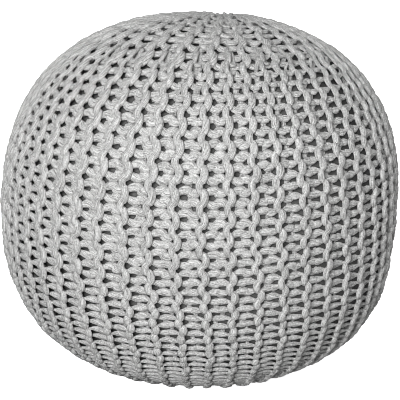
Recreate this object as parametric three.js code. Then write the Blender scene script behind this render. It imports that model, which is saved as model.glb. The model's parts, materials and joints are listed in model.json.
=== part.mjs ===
// A hand-knitted round pouf: one filled body in a sideways garter knit.
// The knit's ridges stand up as vertical ribs that run from the gathered
// crown, over the full waist, to the flat foot that the pouf rests on.
// Millimetres, +Z up. The origin is the middle of the foot, on the floor,
// and the front faces -Y.

import * as THREE from "three";

// Driving dimensions
const DIAMETER = 450;
const WAIST_HEIGHT = 180;
const CROWN_RISE = 215;
const FOOT_RADIUS = 96;

// How square the upper and lower halves of the outline are: 2 is an ellipse
const UPPER_FULLNESS = 2.4;
const LOWER_FULLNESS = 2.62;

// The ribs of the knit. They turn round the body a little, towards the crown
// and again between two heights about the waist.
const RIB_COUNT = 52;
const RIB_PROUD = 7.5;
const SWIRL_AT_CROWN = THREE.MathUtils.degToRad(3);
const SWIRL_AT_FOOT = THREE.MathUtils.degToRad(2.3);
const SWIRL_FROM = 270;
const SWIRL_TO = 130;

// Towards the foot the ribs spread apart at the front and close up behind
const FOOT_SPREAD = 0.2;
const FOOT_PULL = 3;

// The gather at the crown, where the knit is drawn together. It lies to the
// right of the middle and behind it, and the knit near it is pulled with it.
const GATHER_RADIUS = 34;
const GATHER_DEPTH = 4;
const GATHER_RIGHT = 20;
const GATHER_BACK = 50;
const GATHER_PULL = 4;

// The filling has settled to the left, a little below the waist
const SAG_SHIFT = 4.5;
const SAG_HEIGHT = 150;
const SAG_SPREAD = 75;

// Rings of points from foot to waist and from waist to crown
const LOWER_RINGS = 9;
const UPPER_RINGS = 11;

// One rib across: its place as a share of the pitch, and how far it stands
// out of the valley as a share of RIB_PROUD
const RIB_SECTION = [
  { across: -0.12, proud: 1.0 },
  { across: 0.12, proud: 1.0 },
  { across: 0.29, proud: 0.18 },
  { across: 0.5, proud: 0.0 },
  { across: 0.71, proud: 0.18 },
];

const RADIUS = DIAMETER / 2;
const HEIGHT = WAIST_HEIGHT + CROWN_RISE;

// The lower half would close below the floor, where the foot cuts it off
const LOWER_DROP =
  WAIST_HEIGHT / (1 - (FOOT_RADIUS / RADIUS) ** LOWER_FULLNESS) ** (1 / LOWER_FULLNESS);

// Radius of the outline at a height above the floor
function outlineRadius(height) {
  const above = height > WAIST_HEIGHT;
  const fullness = above ? UPPER_FULLNESS : LOWER_FULLNESS;
  const reach = above ? CROWN_RISE : LOWER_DROP;
  const share = Math.min(1, Math.abs(height - WAIST_HEIGHT) / reach);
  return RADIUS * (1 - share ** fullness) ** (1 / fullness);
}

// Height of the outline above the floor at a radius, above the waist
function outlineHeight(radius) {
  const share = Math.min(1, radius / RADIUS);
  return WAIST_HEIGHT + CROWN_RISE * (1 - share ** UPPER_FULLNESS) ** (1 / UPPER_FULLNESS);
}

// The crown dips where the stitches are gathered
function gatherDip(radius) {
  const share = Math.min(1, radius / GATHER_RADIUS);
  return GATHER_DEPTH * (1 - share ** 2) ** 2;
}

// The outline from the middle of the foot, round the waist, to the crown
function outlinePoints() {
  const points = [new THREE.Vector2(0, 0)];
  for (let ring = 0; ring <= LOWER_RINGS; ring++) {
    const height = WAIST_HEIGHT * (1 - Math.cos((Math.PI / 2) * (ring / LOWER_RINGS)));
    points.push(new THREE.Vector2(outlineRadius(height), height));
  }
  for (let ring = 1; ring <= UPPER_RINGS; ring++) {
    const turn = (Math.PI / 2) * (ring / UPPER_RINGS);
    const height = WAIST_HEIGHT + CROWN_RISE * Math.sin(turn) ** (2 / UPPER_FULLNESS);
    points.push(new THREE.Vector2(ring < UPPER_RINGS ? outlineRadius(height) : 0, height));
  }
  return points;
}

// A height as a share of the rise from the waist to the crown, none below it
function shareAbove(height) {
  return Math.max(0, (height - WAIST_HEIGHT) / CROWN_RISE);
}

// How far the ribs have turned round the body at a height
function swirl(height) {
  const low = THREE.MathUtils.smoothstep(-height, -SWIRL_FROM, -SWIRL_TO);
  return SWIRL_AT_CROWN * shareAbove(height) ** 2 + SWIRL_AT_FOOT * low;
}

// How much wider apart the front's ribs are at a height, as a share
function spread(height) {
  return FOOT_SPREAD * Math.max(0, 1 - height / WAIST_HEIGHT) ** FOOT_PULL;
}

// Ribs die out in the gather and under the foot, where they are pressed flat
function ribStrength(height, radius) {
  const crown = THREE.MathUtils.smoothstep(radius, GATHER_RADIUS, 3 * GATHER_RADIUS);
  const foot = THREE.MathUtils.smoothstep(height, 0, 0.12 * HEIGHT);
  return height > WAIST_HEIGHT ? crown : foot;
}

// Sideways shift of the filled body at a height
function sag(height) {
  const share = (height - SAG_HEIGHT) / SAG_SPREAD;
  return -SAG_SHIFT * Math.exp(-(share ** 2));
}

// A lathe of the outline whose points are raised into the ribs
function knittedBody() {
  const columns = RIB_COUNT * RIB_SECTION.length;
  const body = new THREE.LatheGeometry(outlinePoints(), columns);
  body.rotateX(Math.PI / 2);
  const place = body.getAttribute("position");
  const facing = body.getAttribute("normal");
  const rings = place.count / (columns + 1);
  for (let index = 0; index < place.count; index++) {
    const column = Math.floor(index / rings);
    const section = RIB_SECTION[column % RIB_SECTION.length];
    const rib = Math.floor(column / RIB_SECTION.length);
    const height = place.getZ(index);
    const radius = Math.hypot(place.getX(index), place.getY(index));
    const outwards = Math.hypot(facing.getX(index), facing.getY(index));
    const sunk = RIB_PROUD * (1 - section.proud) * ribStrength(height, radius);
    const bearing = (2 * Math.PI * (rib + section.across)) / RIB_COUNT;
    const angle = bearing + spread(height) * Math.sin(bearing) + swirl(height);
    const pull = shareAbove(height) ** GATHER_PULL;
    const x = radius * Math.sin(angle) + GATHER_RIGHT * pull ** 2;
    const y = -radius * Math.cos(angle) + GATHER_BACK * pull;
    const level = height > WAIST_HEIGHT ? outlineHeight(Math.hypot(x, y)) - gatherDip(radius) : height;
    place.setXYZ(
      index,
      x - sunk * outwards * Math.sin(angle) + sag(level),
      y + sunk * outwards * Math.cos(angle),
      level - sunk * facing.getZ(index),
    );
  }
  return body;
}

const cottonYarn = new THREE.MeshStandardMaterial({
  name: "grey_cotton_yarn",
  color: 0xc6c6c5,
  roughness: 0.95,
  metalness: 0,
});

const pouf = new THREE.Group();
const body = new THREE.Mesh(knittedBody(), cottonYarn);
body.name = "knitted_pouf";
pouf.add(body);

export default pouf;
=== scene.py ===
# %% [markdown]
# # A knitted pouf, cord by cord
# The real pouf is a grey bag of filling inside a cover that is knitted from
# thick cotton cord. The solid that comes from the CAD model has the right
# size and its 52 ribs, but no stitches. Here every loop of the knit is laid
# as a cord, so that light falls through the holes onto the bag behind it.

# %% Load the fixed frame and keep its box
import json

import bmesh
import bpy
import numpy as np
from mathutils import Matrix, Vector

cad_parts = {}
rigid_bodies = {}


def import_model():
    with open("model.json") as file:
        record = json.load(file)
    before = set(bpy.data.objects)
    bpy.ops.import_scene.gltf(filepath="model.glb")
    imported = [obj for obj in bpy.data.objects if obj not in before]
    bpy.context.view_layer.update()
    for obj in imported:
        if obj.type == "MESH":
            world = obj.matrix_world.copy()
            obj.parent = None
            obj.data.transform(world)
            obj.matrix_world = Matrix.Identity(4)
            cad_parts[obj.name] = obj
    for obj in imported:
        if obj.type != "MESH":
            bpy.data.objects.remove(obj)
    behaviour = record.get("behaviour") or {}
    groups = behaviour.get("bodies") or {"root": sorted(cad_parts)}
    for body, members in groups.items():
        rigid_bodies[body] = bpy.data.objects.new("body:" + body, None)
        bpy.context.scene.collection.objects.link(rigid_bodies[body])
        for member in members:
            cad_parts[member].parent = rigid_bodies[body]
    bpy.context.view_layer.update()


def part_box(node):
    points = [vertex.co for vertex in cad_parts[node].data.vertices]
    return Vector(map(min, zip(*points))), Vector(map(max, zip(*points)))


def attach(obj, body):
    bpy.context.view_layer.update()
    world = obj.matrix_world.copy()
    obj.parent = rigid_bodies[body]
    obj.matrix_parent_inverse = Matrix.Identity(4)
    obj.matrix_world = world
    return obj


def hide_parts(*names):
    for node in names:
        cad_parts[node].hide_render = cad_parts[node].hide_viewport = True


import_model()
MM = 0.001
NODE = "knitted_pouf"
node_low, node_high = (Vector(corner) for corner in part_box(NODE))
print("CAD box in millimetres:", [round(side / MM) for side in node_high - node_low])

# %% [markdown]
# ## Colours and nodes
# Colours are written as they look on screen, in sRGB hex, and turned into
# the linear light that a renderer adds up. One small function adds any kind
# of node, sets its properties, and fills or links its inputs.


# %% Helpers for colours and materials
def linear(hex_colour):
    """Linear RGBA of an sRGB hex colour."""
    parts = [int(hex_colour[at : at + 2], 16) / 255 for at in (1, 3, 5)]
    low_part = [part / 12.92 for part in parts]
    high_part = [((part + 0.055) / 1.055) ** 2.4 for part in parts]
    return [low if part <= 0.04045 else high for part, low, high in zip(parts, low_part, high_part)] + [1]


def new_material(name):
    """An empty node material, and the surface socket of its output."""
    material = bpy.data.materials.new(name)
    material.use_nodes = True
    material.node_tree.nodes.clear()
    output = material.node_tree.nodes.new("ShaderNodeOutputMaterial")
    return material, output.inputs["Surface"]


def link(material, source, target):
    """Join an output socket to an input socket."""
    material.node_tree.links.new(source, target)


def add_node(material, kind, inputs=None, **settings):
    """Add a node, set its properties, and fill each input with a value or a link."""
    node = material.node_tree.nodes.new(kind)
    for name, value in settings.items():
        setattr(node, name, value)
    for key, value in (inputs or {}).items():
        if isinstance(value, bpy.types.NodeSocket):
            link(material, value, node.inputs[key])
        else:
            node.inputs[key].default_value = value
    return node


print("half grey on screen is", round(linear("#808080")[0], 2), "in linear light")

# %% [markdown]
# ## The camera
# The outline and the run of the ribs in the photograph fit a camera about
# six radii away, looking down at 18 degrees through a long lens. The shift
# is only the few pixels by which the pouf sits off the picture's middle.

# %% Camera at the photograph's angle
PICTURE_SIDE = 400
WAIST_HEIGHT = 180 * MM
CAMERA_DISTANCE = 1406 * MM
CAMERA_ELEVATION = np.radians(18.3)
CAMERA_LENS = 110.4
CAMERA_SENSOR = 36
WAIST_PIXEL = (202.3, 203.5)

camera_data = bpy.data.cameras.new("camera")
camera_data.lens = CAMERA_LENS
camera_data.sensor_width = CAMERA_SENSOR
camera_data.shift_x = (PICTURE_SIDE / 2 - WAIST_PIXEL[0]) / PICTURE_SIDE
camera_data.shift_y = (WAIST_PIXEL[1] - PICTURE_SIDE / 2) / PICTURE_SIDE
camera = bpy.data.objects.new("camera", camera_data)
bpy.context.collection.objects.link(camera)
camera.location = (
    0,
    -CAMERA_DISTANCE * np.cos(CAMERA_ELEVATION),
    WAIST_HEIGHT + CAMERA_DISTANCE * np.sin(CAMERA_ELEVATION),
)
camera.rotation_euler = (np.pi / 2 - CAMERA_ELEVATION, 0, 0)
bpy.context.scene.camera = camera
print("camera at", [round(value, 3) for value in camera.location])

# %% [markdown]
# ## The studio
# The photograph has a plain white ground without a shadow. In a studio that
# is a sweep of white paper, which lies flat and then curves up into a wall.
# A flat plane would end in a horizon, so the sweep is drawn as a profile and
# spun round the upright axis. The same small function spins the bag later.

# %% White paper sweep
MERGE_DISTANCE = 0.01 * MM
FLOOR_RADIUS = 4.5
COVE_RADIUS = 2.0
COVE_POINTS = 12
WALL_HEIGHT = 3.2
STUDIO_SEGMENTS = 64


def spun(name, radii, heights, segments):
    """A piece whose profile of radii and heights is spun once round the upright axis."""
    shape = bmesh.new()
    line = [shape.verts.new((radius, 0, height)) for radius, height in zip(radii, heights)]
    edges = [shape.edges.new(pair) for pair in zip(line, line[1:])]
    bmesh.ops.spin(
        shape,
        geom=line + edges,
        cent=(0, 0, 0),
        axis=(0, 0, 1),
        angle=2 * np.pi,
        steps=segments,
        use_merge=True,
    )
    bmesh.ops.remove_doubles(shape, verts=shape.verts, dist=MERGE_DISTANCE)
    bmesh.ops.recalc_face_normals(shape, faces=shape.faces)
    mesh = bpy.data.meshes.new(name)
    shape.to_mesh(mesh)
    shape.free()
    piece = bpy.data.objects.new(name, mesh)
    bpy.context.collection.objects.link(piece)
    return piece


cove_turn = np.linspace(0, np.pi / 2, COVE_POINTS)
sweep_radii = [0, *(FLOOR_RADIUS + COVE_RADIUS * np.sin(cove_turn)), FLOOR_RADIUS + COVE_RADIUS]
sweep_heights = [0, *(COVE_RADIUS * (1 - np.cos(cove_turn))), WALL_HEIGHT]
floor = spun("floor", sweep_radii, sweep_heights, STUDIO_SEGMENTS)
print("paper sweep:", len(floor.data.polygons), "faces")

# %% [markdown]
# ## White paper
# Studio paper is matt and nearly white. Here it also glows a little, which
# burns the ground out to plain white, as a photographer does with lights on
# the paper. For light that bounces between paper and pouf it is a dark card,
# so that the pouf's underside stays dark, as in the photograph.

# %% Paper material
FLOOR_COLOUR = "#f4f4f3"
FLOOR_GLOW = 0.85
CARD_COLOUR = "#363635"

floor_paper, surface = new_material("matt_white_paper")
paper = add_node(
    floor_paper,
    "ShaderNodeBsdfPrincipled",
    {
        "Base Color": linear(FLOOR_COLOUR),
        "Roughness": 0.9,
        "Emission Color": (1, 1, 1, 1),
        "Emission Strength": FLOOR_GLOW,
    },
)
shade_card = add_node(floor_paper, "ShaderNodeBsdfDiffuse", {"Color": linear(CARD_COLOUR)})
ray = add_node(floor_paper, "ShaderNodeLightPath")
bounced = add_node(
    floor_paper,
    "ShaderNodeMath",
    {0: ray.outputs["Is Diffuse Ray"], 1: ray.outputs["Is Glossy Ray"]},
    operation="MAXIMUM",
)
shader = add_node(
    floor_paper,
    "ShaderNodeMixShader",
    {"Fac": bounced.outputs[0], 1: paper.outputs["BSDF"], 2: shade_card.outputs["BSDF"]},
)
link(floor_paper, shader.outputs["Shader"], surface)
floor.data.materials.append(floor_paper)
print("paper: glow", FLOOR_GLOW)

# %% [markdown]
# ## Light
# The picture's left side is the bright one and the lower right falls away.
# So the key light stands at the front left, and a weak fill comes from the
# right. Two low soft boxes light the back, one lights the paper behind the
# pouf, and a faint white sky fills the rest.

# %% Soft boxes and sky
SKY_STRENGTH = 0.125
BODY_MIDDLE = (0, 0, 0.18)

# In pixels, narrow enough to keep the edges of the cords crisp
PIXEL_FILTER = 0.8

# Each light: where it stands and where it aims, in metres, its side and its power
SOFT_BOXES = [
    {"name": "key", "at": (-0.48, -2.35, 1.2), "aim": BODY_MIDDLE, "side": 1.1, "power": 74},
    {"name": "fill", "at": (2.2, -1.2, 1.5), "aim": BODY_MIDDLE, "side": 1.6, "power": 8},
    {"name": "back_right", "at": (1.6, 2.0, 0.5), "aim": BODY_MIDDLE, "side": 1.0, "power": 34},
    {"name": "back_left", "at": (-1.5, 2.2, 0.5), "aim": BODY_MIDDLE, "side": 1.0, "power": 24},
    {"name": "backdrop", "at": (0.0, 3.6, 2.2), "aim": (0, 3.8, 0), "side": 2.4, "power": 45},
]

for box in SOFT_BOXES:
    light_data = bpy.data.lights.new(box["name"], "AREA")
    light_data.size = box["side"]
    light_data.energy = box["power"]
    light = bpy.data.objects.new(box["name"], light_data)
    light.location = box["at"]
    aim = Vector(box["aim"]) - light.location
    light.rotation_euler = aim.to_track_quat("-Z", "Y").to_euler()
    bpy.context.collection.objects.link(light)

sky = bpy.data.worlds.new("sky")
sky.use_nodes = True
sky.node_tree.nodes["Background"].inputs["Color"].default_value = (1, 1, 1, 1)
sky.node_tree.nodes["Background"].inputs["Strength"].default_value = SKY_STRENGTH
bpy.context.scene.world = sky
bpy.context.scene.view_settings.view_transform = "Standard"
bpy.context.scene.cycles.filter_width = PIXEL_FILTER
print("studio:", len(SOFT_BOXES), "soft boxes")

# %% [markdown]
# ## The form
# The cover is a full round body: a superellipse above the waist, a squarer
# one below it, and a flat foot. A lathe alone can't tell a stitch where it
# lies, so the outline becomes a table of evenly spaced points from crown to
# foot. Any stitch can then ask for the place and the facing of the skin at
# a length along it.

# %% The outline as a table along the meridian
RADIUS = (node_high.y - node_low.y) / 2
CROWN_RISE = 215 * MM
FOOT_RADIUS = 96 * MM
UPPER_FULLNESS = 2.4
LOWER_FULLNESS = 2.62
LOWER_DROP = WAIST_HEIGHT / (1 - (FOOT_RADIUS / RADIUS) ** LOWER_FULLNESS) ** (1 / LOWER_FULLNESS)
QUARTER_POINTS = 4000
OUTLINE_STEP = 0.5 * MM
FACING_BLUR = 15 * MM


def quarter(turn, rise, fullness):
    """A quarter of a superellipse: radius and height above the waist."""
    return RADIUS * np.sin(turn) ** (2 / fullness), rise * np.cos(turn) ** (2 / fullness)


def blurred_slope(values):
    """How fast values change along the outline, smoothed over the facing's blur."""
    blur = np.ones(int(FACING_BLUR / OUTLINE_STEP))
    padded = np.pad(np.gradient(values), len(blur), mode="edge")
    return np.convolve(padded, blur, "same")[len(blur) : -len(blur)]


def outline_table():
    """Length from the crown, radius, height, and the facing's two parts, along the outline."""
    turn = np.linspace(0, np.pi / 2, QUARTER_POINTS)
    upper_radius, upper_height = quarter(turn, CROWN_RISE, UPPER_FULLNESS)
    lower_radius, lower_drop = quarter(turn[::-1], LOWER_DROP, LOWER_FULLNESS)
    above_floor = lower_drop < WAIST_HEIGHT
    radius = np.concatenate([upper_radius, lower_radius[above_floor][1:], [FOOT_RADIUS, 0]])
    height = np.concatenate([upper_height, -lower_drop[above_floor][1:], [-WAIST_HEIGHT] * 2])
    length = np.concatenate([[0], np.cumsum(np.hypot(np.diff(radius), np.diff(height)))])
    even = np.linspace(0, length[-1], int(length[-1] / OUTLINE_STEP))
    radius = np.interp(even, length, radius)
    height = np.interp(even, length, height) + WAIST_HEIGHT
    run, rise = blurred_slope(radius), blurred_slope(height)
    size = np.hypot(run, rise)
    return even, radius, height, -rise / size, run / size


ALONG, SKIN_RADIUS, SKIN_HEIGHT, FACING_OUT, FACING_UP = outline_table()
WAIST_AT = int(np.argmax(SKIN_RADIUS))
WAIST_ALONG = ALONG[WAIST_AT]
print("meridian from crown to foot:", round(ALONG[-1] / MM), "mm, waist at", round(WAIST_ALONG / MM), "mm")

# %% [markdown]
# ## The skin
# The real pouf isn't quite round. Its ribs turn a little about the waist,
# spread apart at the front of the foot and are drawn to a gather that lies
# right of the crown's middle and behind it, and its filling leans to the
# left. All of this goes into one function, with the CAD model's own values,
# so that the cords lie on the CAD solid's ribs.

# %% Place and facing of the skin
GATHER_RADIUS = 34 * MM
GATHER_DEPTH = 4 * MM
GATHER_RIGHT = 20 * MM
GATHER_BACK = 50 * MM
GATHER_PULL = 4
FOOT_SPREAD = 0.2
FOOT_PULL = 3
SAG_SHIFT = 4.5 * MM
SAG_HEIGHT = 150 * MM
SAG_SPREAD = 75 * MM
SWIRL_AT_CROWN = np.radians(3)
SWIRL_AT_FOOT = np.radians(2.3)
SWIRL_FROM = 270 * MM
SWIRL_TO = 130 * MM

# Shares of the crown's rise between which the skin's height comes to follow the gather
GATHER_REACH = (0.15, 0.45)


def smooth_step(value, low, high):
    """0 before low, 1 after high, and a smooth rise between."""
    share = np.clip((value - low) / (high - low), 0, 1)
    return share * share * (3 - 2 * share)


def skin(angle, along, depth):
    """Points of the skin, sunk by a depth, and the skin's facing there."""
    radius = np.interp(along, ALONG, SKIN_RADIUS)
    height = np.interp(along, ALONG, SKIN_HEIGHT)
    above = np.clip((height - WAIST_HEIGHT) / CROWN_RISE, 0, 1)
    below = np.clip(1 - height / WAIST_HEIGHT, 0, 1)
    spread = FOOT_SPREAD * np.sin(angle) * below**FOOT_PULL
    swirl = SWIRL_AT_CROWN * above**2 + SWIRL_AT_FOOT * smooth_step(height, SWIRL_FROM, SWIRL_TO)
    angle = angle + spread + swirl
    pull = above**GATHER_PULL
    x = radius * np.sin(angle) + GATHER_RIGHT * pull**2
    y = -radius * np.cos(angle) + GATHER_BACK * pull
    dip = GATHER_DEPTH * (1 - np.minimum(1, radius / GATHER_RADIUS) ** 2) ** 2
    depth = depth + np.where(above > 0, dip, 0)
    gathered = np.interp(np.hypot(x, y), SKIN_RADIUS[:WAIST_AT], ALONG[:WAIST_AT])
    along = along + (gathered - along) * smooth_step(above, *GATHER_REACH)
    height = np.interp(along, ALONG, SKIN_HEIGHT)
    out = np.interp(along, ALONG, FACING_OUT)
    up = np.interp(along, ALONG, FACING_UP)
    turn = np.arctan2(x, -y)
    facing = np.stack([out * np.sin(turn), -out * np.cos(turn), up], axis=-1)
    x = x - SAG_SHIFT * np.exp(-(((height - SAG_HEIGHT) / SAG_SPREAD) ** 2))
    return np.stack([x, y, height], axis=-1) - facing * np.asarray(depth)[..., None], facing


gather_middle, _ = skin(0.0, ALONG[0], 0.0)
print("middle of the gather in millimetres:", [round(side / MM) for side in gather_middle])

# %% [markdown]
# ## The knit
# The cover is garter stitch turned on its side: each row runs from the crown
# to the foot, and two rows make one rib. Half of the ribs stop short of the
# crown and the foot, as short rows do, because 52 would not fit there. The
# stitches are longest at the crown and get shorter towards the foot. Their
# lengths are added up along the outline, so that a count of stitches says
# where on the body each of them lies.

# %% Stitches and short rows
EYE_RADIUS = 7 * MM
SHORT_ROW_RADIUS = 130 * MM
SHORT_ROW_FOOT = 84 * MM

# Places in mm below the waist, and the stitches' lengths there in mm
STITCH_PLACE = [-360, -230, -170, -120, -60, 10, 40, 345]
STITCH_LENGTH = [28.0, 28.0, 23.0, 21.0, 20.0, 20.0, 19.0, 19.0]


def crown_along(radius):
    """Length along the outline at which the crown has a radius."""
    return np.interp(radius, SKIN_RADIUS[:WAIST_AT], ALONG[:WAIST_AT])


eye_foot = ALONG[-1] - EYE_RADIUS
pace = np.interp((ALONG - WAIST_ALONG) / MM, STITCH_PLACE, STITCH_LENGTH) * MM
LAID = np.concatenate([[0], np.cumsum(np.diff(ALONG) / pace[1:])])
LAID = LAID - np.interp(crown_along(EYE_RADIUS), ALONG, LAID)
STITCH_COUNT = round(np.interp(eye_foot, ALONG, LAID))
LAID = LAID * STITCH_COUNT / np.interp(eye_foot, ALONG, LAID)
SHORT_FIRST = round(np.interp(crown_along(SHORT_ROW_RADIUS), ALONG, LAID))
SHORT_LAST = round(np.interp(ALONG[-1] - SHORT_ROW_FOOT, ALONG, LAID))
print(STITCH_COUNT, "stitches from crown to foot, short rows", SHORT_FIRST, "to", SHORT_LAST)

# %% [markdown]
# ## One swing of a row
# A row is one cord that swings left and right. At one side its loops lie on
# the front and lock with the next row into a rib, at the other side they lie
# at the back. Between the two the cord crosses the valley as a rung. On the
# full upper body the rungs are thick and pressed together in pairs. Towards
# the foot the knit is stretched, and they are thin, straight and apart. So
# there are two sets of values for a swing, and a row blends from one to the
# other.

# %% Tables of a swing
SWING_POINTS = 401
SWING_BLUR = 21
SWING = np.linspace(-1, 1, SWING_POINTS)

# Half a swing in ten equal parts, from the loop on the front to the loop at the back: stitches
# gone along the rib, depth below the rib in mm, and the cord's width and thickness in mm
BODY_ALONG = [0, 0.15, 0.28, 0.35, 0.30, 0.205, 0.18, 0.175, 0.225, 0.35, 0.5]
BODY_DEPTH = [0, 0.2, 1.0, 2.4, 3.8, 4.6, 4.4, 4.4, 5.4, 7.4, 9.0]
BODY_WIDTH = [7.4, 7.2, 6.5, 5.6, 6.2, 8.4, 9.2, 9.2, 8.2, 7.0, 6.4]
BODY_THICK = [6.2, 6.2, 6.0, 5.6, 5.4, 5.2, 5.2, 5.2, 5.2, 5.2, 5.2]
LOW_ALONG = [0, 0.15, 0.26, 0.28, 0.26, 0.25, 0.25, 0.25, 0.255, 0.34, 0.5]
LOW_DEPTH = [0, 0.2, 0.8, 2.4, 3.6, 4.2, 4.4, 4.4, 5.0, 8.0, 12.0]
LOW_WIDTH = [9.6, 8.8, 6.2, 2.8, 3.4, 6.2, 7.6, 7.6, 6.2, 4.6, 4.4]
LOW_THICK = [5.2, 5.2, 5.0, 3.4, 3.6, 4.2, 4.4, 4.4, 4.2, 3.8, 3.8]


def swing_table(values, turned_over=1):
    """Values over a whole swing, back to front to back, with soft corners."""
    table = np.interp(np.abs(SWING), np.linspace(0, 1, len(values)), values)
    table = np.where(SWING < 0, turned_over, 1) * table
    ends = np.concatenate([table[-SWING_BLUR:-1], table, table[1:SWING_BLUR]])
    return np.convolve(ends, np.ones(SWING_BLUR) / SWING_BLUR, "same")[SWING_BLUR - 1 : 1 - SWING_BLUR]


def lead_table(values):
    """How far a row runs ahead of an even pace, which is half a stitch in half a swing."""
    even_pace = np.linspace(0, 0.5, len(values))
    return swing_table(np.array(values) - even_pace, turned_over=-1)


def swing_tables(along, depth, width, thick):
    """The four tables of a swing, in stitches and metres."""
    return [lead_table(along), *(swing_table(part) * MM for part in (depth, width, thick))]


BODY = swing_tables(BODY_ALONG, BODY_DEPTH, BODY_WIDTH, BODY_THICK)
LOW = swing_tables(LOW_ALONG, LOW_DEPTH, LOW_WIDTH, LOW_THICK)
print("cord widths on the body:", round(BODY[2].min() / MM, 1), "to", round(BODY[2].max() / MM, 1), "mm")
print("cord widths near the foot:", round(LOW[2].min() / MM, 1), "to", round(LOW[2].max() / MM, 1), "mm")

# %% [markdown]
# ## Where the knit changes
# No two parts of a hand-knitted cover are alike. In the photograph the knit
# is tight at the left and loose at the right, full under the crown, and
# stretched thin where it turns in to the foot. Each change has a strength
# and a place where it sets in.

# %% Zones and strengths of the changes
# Zones along a rib, in mm below the waist: where a change begins and where it is complete
UPPER_ZONE = (-40, -120)
STRETCHED_ZONE = (-30, 60)
STRAIGHT_ZONE = (0, 100)
UNDER_ZONE = (60, 150)
UPPER_FULLER = 0.14
CROWN_FULLER = 0.12
LOW_STRAIGHTER = 0.66
FLATTER_UNDER = 0.2
SLIMMER_UNDER = 0.3

# Sines of a rib's bearing from the front: 0 there and 1 at the right
LOOSE_REACH = (0.05, 0.55)
LOOSER_RIGHT = 0.8
DEEPER_RIGHT = 0.15
TIGHTER_LEFT = 0.11

# The row at a rib's left side has the fuller cord
FULLER_BESIDE = 0.1

# Shares of half a swing between which the rib gives way to the valley
VALLEY_REACH = (0.1, 0.4)


def zone(along, limits):
    """0 before a zone along the ribs, 1 after it, and a smooth rise between."""
    return smooth_step((along - WAIST_ALONG) / MM, *limits)


print("stretched from", -STRETCHED_ZONE[0], "mm above the waist, fully", STRETCHED_ZONE[1], "mm below it")

# %% [markdown]
# ## Room for a row
# At the waist each row has a quarter of a rib's pitch on either side of it.
# Towards the crown and the foot the pitch gets small and the cords narrow.
# Every second rib ends there, and the ribs that go on take its room.

# %% Room for a row
RIB_COUNT = 52
WAIST_PITCH = 2 * np.pi * RADIUS / RIB_COUNT
ROW_SHARE = 0.25
LEAST_NARROW = 0.16
LEAST_NARROW_SHORT = 0.4
NARROW_POWER = 0.6

# Radii between which the short rows give up their room, at the crown and at the foot
CROWN_MERGE = (SHORT_ROW_RADIUS - 12 * MM, SHORT_ROW_RADIUS + 45 * MM)
FOOT_MERGE = (SHORT_ROW_FOOT - 12 * MM, SHORT_ROW_FOOT + 25 * MM)


def goes_on(rib):
    """Whether a rib runs on to the two eyes, as every second one does."""
    return rib % 2 == 0


def room_for_row(rib, along, radius):
    """A row's distance from its rib, how much it is narrowed, and how far the short rows have ended."""
    pitch = 2 * np.pi * radius / RIB_COUNT
    at_crown = 1 - smooth_step(radius, *CROWN_MERGE)
    at_foot = 1 - smooth_step(radius, *FOOT_MERGE)
    ended = np.where(along < WAIST_ALONG, at_crown, at_foot)
    share = ROW_SHARE * (1 + ended if goes_on(rib) else 1 - ended)
    least = LEAST_NARROW if goes_on(rib) else LEAST_NARROW_SHORT
    narrow = np.clip(share / ROW_SHARE * pitch / WAIST_PITCH, least, 1) ** NARROW_POWER
    return share * pitch, narrow, ended


print(sum(goes_on(rib) for rib in range(RIB_COUNT)), "of", RIB_COUNT, "ribs go on to the two eyes")

# %% [markdown]
# ## One row
# With the tables, the zones and the room, a row is a list of points from
# crown to foot. Each point has a place along its rib, a place across it and
# a depth below the skin, and the cord has a width and a thickness there.
# Small random offsets, one for each stitch, keep the rows from looking like
# machine work.

# %% Path of a row
CORD = 6.4 * MM
STEPS = 19
LOOP_REACH = 2.6 * MM
RIB_ROLL = 2.2 * MM
RUNG_OVERLAP = 2.6 * MM
TUCK_DEPTH = 9 * MM
TUCK_STITCHES = 0.75
SETTLED_WITHIN = 60 * MM
UNEVEN_ALONG = 0.7 * MM
RANDOM = np.random.default_rng(52)
AT_STITCH = np.arange(STITCH_COUNT + 1)


def uneven(spread):
    """One random offset for each stitch, for a hand-knitted look."""
    return RANDOM.normal(0, spread, len(AT_STITCH))


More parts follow.
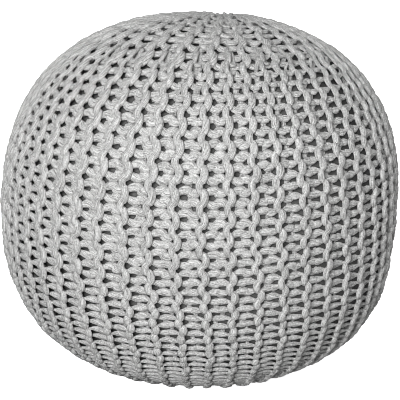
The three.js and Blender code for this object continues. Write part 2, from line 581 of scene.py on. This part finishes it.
def row_path(rib, side, first, last, rib_drift, rib_height):
    """Centre line, facing, width and thickness of one row: side -1 is left of its rib, +1 is right."""
    bearing = 2 * np.pi * rib / RIB_COUNT
    stitch = np.linspace(first, last, (last - first) * STEPS + 1)
    swing = 2 * ((stitch + (0.5 if side < 0 else 0)) % 1) - 1
    towards_front = np.cos(np.pi * swing)
    stretched = zone(np.interp(stitch, LAID, ALONG), STRETCHED_ZONE)
    loose = smooth_step(np.sin(bearing), *LOOSE_REACH)
    low = np.maximum(stretched, LOOSER_RIGHT * loose)
    lead, depth, width, thick = (
        (1 - low) * np.interp(swing, SWING, body) + low * np.interp(swing, SWING, lower)
        for body, lower in zip(BODY, LOW)
    )

    along = np.interp(stitch + lead, LAID, ALONG) + np.interp(stitch, AT_STITCH, uneven(UNEVEN_ALONG))
    radius = np.interp(along, ALONG, SKIN_RADIUS)
    room, narrow, ended = room_for_row(rib, along, radius)
    reach = LOOP_REACH * narrow * (1 - LOW_STRAIGHTER * zone(along, STRAIGHT_ZONE))
    across = side * (room - towards_front * (room + reach))
    across = across + side * RUNG_OVERLAP * stretched * narrow * (0.5 - 0.5 * towards_front) ** 2
    across = across + np.interp(stitch, AT_STITCH, rib_drift) * narrow
    across = across - RIB_ROLL * narrow * (1 - stretched) * (0.5 + 0.5 * towards_front) ** 2
    angle = bearing + across / np.maximum(radius, EYE_RADIUS / 2)

    under = zone(along, UNDER_ZONE)
    relief = (1 + DEEPER_RIGHT * loose * under) * (1 - FLATTER_UNDER * under * (1 - loose))
    tuck = 1 - smooth_step(np.minimum(stitch - first, last - stitch), 0, TUCK_STITCHES)
    settled = smooth_step(ALONG[-1] - along, FOOT_RADIUS, FOOT_RADIUS + SETTLED_WITHIN)
    depth = (CORD / 2 + depth * relief) * narrow + TUCK_DEPTH * tuck
    depth = depth - np.interp(stitch, AT_STITCH, rib_height) * settled

    in_valley = smooth_step(np.abs(swing), *VALLEY_REACH)
    full = 1 - TIGHTER_LEFT * np.sin(bearing) + (FULLER_BESIDE if side < 0 else 0) * (1 - stretched)
    full = full * (1 + in_valley * CROWN_FULLER * ended * (along < WAIST_ALONG))
    full = full * (1 + UPPER_FULLER * zone(along, UPPER_ZONE))
    full = full * (1 - in_valley * SLIMMER_UNDER * under)
    return *skin(angle, along, depth), width * narrow * full, thick * narrow


print("a row has", STEPS, "points for each stitch")

# %% [markdown]
# ## From rows to meshes
# A curve with a bevel would give each row a round tube, but this cord is
# soft: it lies wide and flat where it is free and is squeezed in the loops.
# So each row is swept as a tube with its own width and thickness, as arrays
# of points, and many rows become one mesh. A map is laid on the cords at the
# same time, round and along each of them, for the fibres of the cotton.

# %% Sweep a cord and map it
SIDES = 8

# Three quads close a ring of eight points at either end of a cord
END_CAP = np.array([[0, 1, 2, 3], [0, 3, 4, 7], [4, 5, 6, 7]])


def sweep(centre, facing, width, thickness):
    """Rings of points of a soft cord round its centre line."""
    run = np.gradient(centre, axis=0)
    run /= np.linalg.norm(run, axis=1, keepdims=True)
    out = facing - run * np.sum(facing * run, axis=1, keepdims=True)
    out /= np.linalg.norm(out, axis=1, keepdims=True)
    aside = np.cross(run, out)
    turn = 2 * np.pi * np.arange(SIDES) / SIDES
    ring = np.cos(turn)[None, :, None] * (aside * width[:, None] / 2)[:, None]
    ring = ring + np.sin(turn)[None, :, None] * (out * thickness[:, None] / 2)[:, None]
    return centre[:, None] + ring


def tube_faces(rings, first_vertex):
    """Quads round and along a tube, and the faces that close its ends."""
    ring = np.arange(rings - 1)[:, None] * SIDES
    here = np.arange(SIDES)[None, :]
    after = (here + 1) % SIDES
    quads = np.stack([ring + here, ring + SIDES + here, ring + SIDES + after, ring + after], axis=-1)
    last_cap = END_CAP[:, ::-1] + (rings - 1) * SIDES
    return np.concatenate([quads.reshape(-1, 4), END_CAP, last_cap]) + first_vertex


def length_along(centre):
    """Length from the start of a centre line to each of its points."""
    return np.concatenate([[0], np.cumsum(np.linalg.norm(np.diff(centre, axis=0), axis=1))])


def tube_uv(centre):
    """For each quad corner: share round the cord, and metres along it."""
    length = length_along(centre)
    low, high = length[:-1, None], length[1:, None]
    here = np.arange(SIDES)[None, :] / SIDES
    after = here + 1 / SIDES
    across = [here + 0 * low, here + 0 * low, after + 0 * low, after + 0 * low]
    run = [low + 0 * here, high + 0 * here, high + 0 * here, low + 0 * here]
    wall = np.stack([np.stack(across, axis=-1), np.stack(run, axis=-1)], axis=-1).reshape(-1, 2)
    return np.concatenate([wall, np.zeros((2 * END_CAP.size, 2))])


print("a cord has", SIDES, "sides")


# %% Join cords into one mesh
def cord_mesh(name, rows):
    """One mesh of many swept cords, with the cords' own UV map."""
    points, faces, corners = [], [], []
    count = 0
    for centre, facing, width, thickness in rows:
        rings = sweep(centre, facing, width, thickness)
        points.append(rings.reshape(-1, 3))
        faces.append(tube_faces(len(rings), count))
        corners.append(tube_uv(centre))
        count += rings.shape[0] * SIDES
    mesh = bpy.data.meshes.new(name)
    mesh.from_pydata(np.concatenate(points), [], np.concatenate(faces))
    cord_map = mesh.uv_layers.new(name="cord")
    cord_map.data.foreach_set("uv", np.concatenate(corners).astype(np.float32).ravel())
    mesh.shade_smooth()
    piece = bpy.data.objects.new(name, mesh)
    bpy.context.collection.objects.link(piece)
    return piece


PANEL_COUNT = 6
UNEVEN_ACROSS = 0.9 * MM
UNEVEN_HEIGHT = 0.5 * MM

panels = []
cord_length = 0
for number, ribs in enumerate(np.array_split(np.arange(RIB_COUNT), PANEL_COUNT), start=1):
    rows = []
    for rib in ribs:
        drift = uneven(UNEVEN_ACROSS)
        height = uneven(UNEVEN_HEIGHT)
        first, last = (0, STITCH_COUNT) if goes_on(rib) else (SHORT_FIRST, SHORT_LAST)
        rows += [row_path(rib, side, first, last, drift, height) for side in (-1, 1)]
    panels.append(cord_mesh(f"knit_panel_{number}", rows))
    cord_length += sum(length_along(row[0])[-1] for row in rows)
print("knit:", sum(len(panel.data.polygons) for panel in panels) * 2, "triangles")
print("cord laid:", round(cord_length), "metres")

# %% [markdown]
# ## The drawn cord
# At the crown and under the foot a thinner cord runs through the last loops
# and is drawn tight, which gathers the knit and leaves a small closed eye.
# It winds inwards twice, and dips at each loop that it has caught.

# %% Drawn cords of the two eyes
DRAWN_CORD = 4.2 * MM
DRAWN_RADIUS = 4.6 * MM
DRAWN_WAVE = 0.9 * MM
DRAWN_DEPTH = 5 * MM
DRAWN_INWARDS = 0.9
DRAWN_TURNS = 2
DRAWN_STEPS = 96
LOOPS_CAUGHT = 13


def drawn_ring(along):
    """One drawn cord that winds inwards round an eye and dips through the loops."""
    share = np.linspace(0, 1, DRAWN_STEPS * DRAWN_TURNS + 1)
    turn = 2 * np.pi * DRAWN_TURNS * share
    middle, facing = skin(0.0, along, 0.0)
    wave = DRAWN_WAVE * (1 - share)
    out = DRAWN_RADIUS * (1 - DRAWN_INWARDS * share**2) + wave * np.cos(LOOPS_CAUGHT * turn)
    depth = DRAWN_DEPTH - wave * np.sin(LOOPS_CAUGHT * turn)
    across = np.cross(facing, (1.0, 0.0, 0.0))
    across /= np.linalg.norm(across)
    beside = np.cross(across, facing)
    centre = middle + out[:, None] * (np.cos(turn)[:, None] * beside + np.sin(turn)[:, None] * across)
    centre = centre - depth[:, None] * facing
    size = np.full(len(share), DRAWN_CORD)
    return centre, np.repeat(facing[None], len(share), axis=0), size, size


drawn_cords = cord_mesh("drawn_cords", [drawn_ring(ALONG[1]), drawn_ring(ALONG[-2])])
print("drawn cords:", len(drawn_cords.data.polygons), "faces")

# %% [markdown]
# ## The inner bag
# The filling sits in a bag of grey cloth, which shows only as shade in the
# holes of the knit. Its outline is the cover's, sunk to just behind the
# rungs, and spun round the axis. The loops at the back of the knit press
# into it, as they do into a full bag. A bag that lay deeper would leave
# chinks at the sides, through which the floor could be seen.

# %% Inner bag
BAG_DEPTH = 12.5 * MM
BAG_SEGMENTS = 96
BAG_POINTS = 48

bag_along = np.linspace(ALONG[0], ALONG[-1], BAG_POINTS)
bag_radius = np.interp(bag_along, ALONG, SKIN_RADIUS - BAG_DEPTH * FACING_OUT)
bag_height = np.interp(bag_along, ALONG, SKIN_HEIGHT - BAG_DEPTH * FACING_UP)
bag_radius[0] = bag_radius[-1] = 0
bag = spun("inner_bag", bag_radius, bag_height, BAG_SEGMENTS)
bag.data.shade_smooth()
print("inner bag:", len(bag.data.polygons), "faces")

# %% [markdown]
# ## Cotton cord
# The cord is a loose bundle of fine cotton threads with hardly any twist.
# Matt cotton spreads light evenly, with a faint sheen at grazing angles, and
# the threads show as fine lines along the cord. Over the cord's own light
# grey, the colour is painted lighter on the ridges of the fibres and darker
# in the grooves between them: painted light and painted shade. The lines
# follow the cord's own map: round it in shares of a turn, and along it in
# metres. The map is bent into a circle first, so that no seam shows where
# the turn closes.

# %% Place on the cord
TWIST_LENGTH = 90 * MM

cotton, surface = new_material("cotton_cord")
cord_uv = add_node(cotton, "ShaderNodeUVMap", uv_map="cord")
parts = add_node(cotton, "ShaderNodeSeparateXYZ", {"Vector": cord_uv.outputs["UV"]})
turns = add_node(
    cotton,
    "ShaderNodeMath",
    {0: parts.outputs["Y"], 1: 1 / TWIST_LENGTH, 2: parts.outputs["X"]},
    operation="MULTIPLY_ADD",
)
angle = add_node(cotton, "ShaderNodeMath", {0: turns.outputs[0], 1: 2 * np.pi}, operation="MULTIPLY")
round_x = add_node(cotton, "ShaderNodeMath", {0: angle.outputs[0]}, operation="COSINE")
round_y = add_node(cotton, "ShaderNodeMath", {0: angle.outputs[0]}, operation="SINE")
on_cord = add_node(
    cotton,
    "ShaderNodeCombineXYZ",
    {"X": round_x.outputs[0], "Y": round_y.outputs[0], "Z": parts.outputs["Y"]},
)
print("cotton cord: one turn of its twist in", round(TWIST_LENGTH / MM), "mm")

# %% Fibres and colour of the cord
# Real threads are far thinner than this, too fine to show, so they are drawn in bundles
FIBRE_WIDTH = 0.8 * MM
FIBRE_LENGTH = 11 * MM
FIBRE_HEIGHT = 1.3 * MM
FUZZ_SIZE = 1.8 * MM
FUZZ_SHARE = 0.45
# Heights of the fibre relief over which the colour goes from painted shade in the grooves to painted light
# on the ridges
SHADE_FROM = 0.5
SHADE_TO = 0.95
CORD_LIT_RIDGE = "#ebebea"
CORD_SHADED_GROOVE = "#8a8a89"

fibres_across = CORD / 2 / FIBRE_WIDTH
fibre_place = add_node(
    cotton,
    "ShaderNodeMapping",
    {"Vector": on_cord.outputs[0], "Scale": (fibres_across, fibres_across, 1 / FIBRE_LENGTH)},
)
fibre = add_node(
    cotton,
    "ShaderNodeTexNoise",
    {"Vector": fibre_place.outputs[0], "Scale": 1.0, "Detail": 2.0, "Roughness": 0.6},
)
fuzz_place = add_node(cotton, "ShaderNodeTexCoord")
fuzz = add_node(
    cotton,
    "ShaderNodeTexNoise",
    {"Vector": fuzz_place.outputs["Object"], "Scale": 1 / FUZZ_SIZE, "Detail": 1.0, "Roughness": 0.5},
)
height = add_node(
    cotton,
    "ShaderNodeMath",
    {0: fuzz.outputs["Fac"], 1: FUZZ_SHARE, 2: fibre.outputs["Fac"]},
    operation="MULTIPLY_ADD",
)
bump = add_node(
    cotton,
    "ShaderNodeBump",
    {"Height": height.outputs[0], "Distance": FIBRE_HEIGHT, "Strength": 1.0},
)
# Colour by the relief's height: painted shade in the grooves, painted light on the ridges
shade = add_node(
    cotton,
    "ShaderNodeMapRange",
    {"Value": height.outputs[0], "From Min": SHADE_FROM, "From Max": SHADE_TO},
)
colour = add_node(
    cotton,
    "ShaderNodeMix",
    {"Factor": shade.outputs[0], "A": linear(CORD_SHADED_GROOVE), "B": linear(CORD_LIT_RIDGE)},
    data_type="RGBA",
)
shader = add_node(
    cotton,
    "ShaderNodeBsdfPrincipled",
    {"Roughness": 0.92, "Sheen Weight": 0.1, "Sheen Roughness": 0.5, "Specular IOR Level": 0.25},
)
link(cotton, colour.outputs["Result"], shader.inputs["Base Color"])
link(cotton, bump.outputs["Normal"], shader.inputs["Normal"])
link(cotton, shader.outputs["BSDF"], surface)
for piece in [*panels, drawn_cords]:
    piece.data.materials.append(cotton)
print("cotton cord: fibres", round(FIBRE_WIDTH / MM, 1), "mm wide")

# %% [markdown]
# ## Bag cloth
# A plain woven grey cotton, quite matt. It is seen only in the holes of the
# knit, where it gives a deep and even shade. Warp threads run down the bag
# and weft threads run round it, so the weave is the product of a wave round
# the axis and a wave along it. Where the weave lies low, its grey is darkened
# as painted shade between the raised threads. Slubs, the thick places of the
# threads, make its grey uneven.

# %% Bag cloth material
# Real threads of this cloth lie half a millimetre apart, too fine to show, so they are drawn coarser
THREAD_PITCH = 1.6 * MM
THREADS_ROUND = round(2 * np.pi * RADIUS / THREAD_PITCH)
THREAD_HEIGHT = 0.3 * MM
SLUB_SIZE = 5 * MM
# How much the weave darkens the grey where it lies low, as painted shade between the threads
WEAVE_SHARE = 0.2
BAG_LIGHT = "#747473"
BAG_DARK = "#464645"

bag_cloth, surface = new_material("grey_cotton_lining")
place = add_node(bag_cloth, "ShaderNodeTexCoord")
sides = add_node(bag_cloth, "ShaderNodeSeparateXYZ", {"Vector": place.outputs["Object"]})
bearing = add_node(
    bag_cloth,
    "ShaderNodeMath",
    {0: sides.outputs["Y"], 1: sides.outputs["X"]},
    operation="ARCTAN2",
)
warp_turn = add_node(
    bag_cloth,
    "ShaderNodeMath",
    {0: bearing.outputs[0], 1: THREADS_ROUND},
    operation="MULTIPLY",
)
weft_turn = add_node(
    bag_cloth,
    "ShaderNodeMath",
    {0: sides.outputs["Z"], 1: 2 * np.pi / THREAD_PITCH},
    operation="MULTIPLY",
)
warp = add_node(bag_cloth, "ShaderNodeMath", {0: warp_turn.outputs[0]}, operation="SINE")
weft = add_node(bag_cloth, "ShaderNodeMath", {0: weft_turn.outputs[0]}, operation="SINE")
weave = add_node(
    bag_cloth,
    "ShaderNodeMath",
    {0: warp.outputs[0], 1: weft.outputs[0]},
    operation="MULTIPLY",
)
slub = add_node(
    bag_cloth,
    "ShaderNodeTexNoise",
    {"Vector": place.outputs["Object"], "Scale": 1 / SLUB_SIZE, "Detail": 2.0},
)
# Painted shade where the weave lies low, plus the slubs' own uneven grey
cloth_shade = add_node(
    bag_cloth,
    "ShaderNodeMath",
    {0: weave.outputs[0], 1: WEAVE_SHARE, 2: slub.outputs["Fac"]},
    operation="MULTIPLY_ADD",
    use_clamp=True,
)
cloth_colour = add_node(
    bag_cloth,
    "ShaderNodeMix",
    {"Factor": cloth_shade.outputs[0], "A": linear(BAG_DARK), "B": linear(BAG_LIGHT)},
    data_type="RGBA",
)
cloth_bump = add_node(
    bag_cloth,
    "ShaderNodeBump",
    {"Height": weave.outputs[0], "Distance": THREAD_HEIGHT, "Strength": 0.5},
)
shader = add_node(bag_cloth, "ShaderNodeBsdfPrincipled", {"Roughness": 0.95, "Specular IOR Level": 0.2})
link(bag_cloth, cloth_colour.outputs["Result"], shader.inputs["Base Color"])
link(bag_cloth, cloth_bump.outputs["Normal"], shader.inputs["Normal"])
link(bag_cloth, shader.outputs["BSDF"], surface)
bag.data.materials.append(bag_cloth)
print("bag cloth:", THREADS_ROUND, "warp threads drawn")

# %% [markdown]
# ## Pieces on the body
# Every piece rides on the part's one body and stands for the CAD solid. The
# pouf is well filled, but gives when sat on.

# %% Ride and replace
pieces = [*panels, drawn_cords, bag]
for piece in pieces:
    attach(piece, "root")
    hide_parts(NODE)
print(len(pieces), "pieces stand for", NODE)
